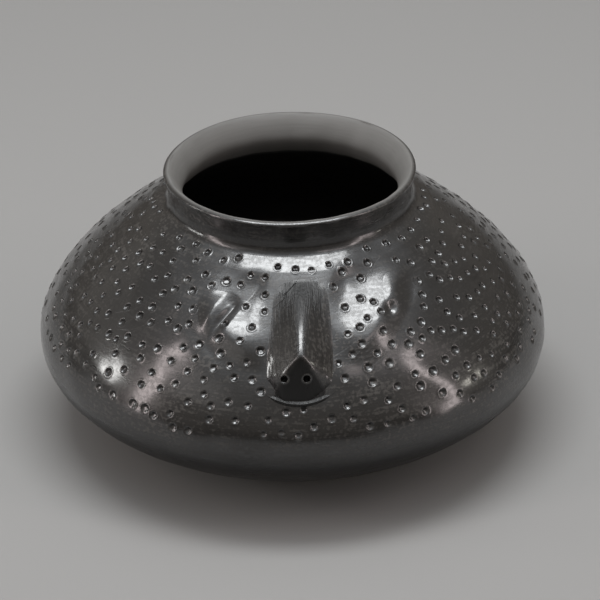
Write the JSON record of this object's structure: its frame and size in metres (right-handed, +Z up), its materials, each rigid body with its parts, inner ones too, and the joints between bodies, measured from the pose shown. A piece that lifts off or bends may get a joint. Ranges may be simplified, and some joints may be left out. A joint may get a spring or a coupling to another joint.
{
  "type": "effigy jar",
  "caption": "Squat black burnished earthenware jar with a flared rim, a shoulder of punched marks and a modelled face with a wedge nose and pressed eyes.",
  "frame": {"origin": "centre of the flat base, on the surface the jar stands on", "axes": "+Z up through the mouth, -Y out of the face, +X to the right of someone who looks at the face"},
  "size_m": [0.1998, 0.1998, 0.1081],
  "materials": {
    "burnished_blackware": "stone-burnished to a high gloss, smoked black",
    "satin_blackware": "wiped and lightly polished, satin, smoked black"
  },
  "bodies": {
    "root": {"base_pad": "satin_blackware", "lower_coil_1": "burnished_blackware", "lower_coil_2": "burnished_blackware", "belly_coil": "burnished_blackware", "shoulder_coil_1": "burnished_blackware", "shoulder_coil_2": "burnished_blackware", "shoulder_coil_3": "burnished_blackware", "neck_coil": "burnished_blackware", "rim_coil": "satin_blackware", "nose": "burnished_blackware", "left_eye_ridge": "burnished_blackware", "right_eye_ridge": "burnished_blackware"}
  },
  "joints": []
}
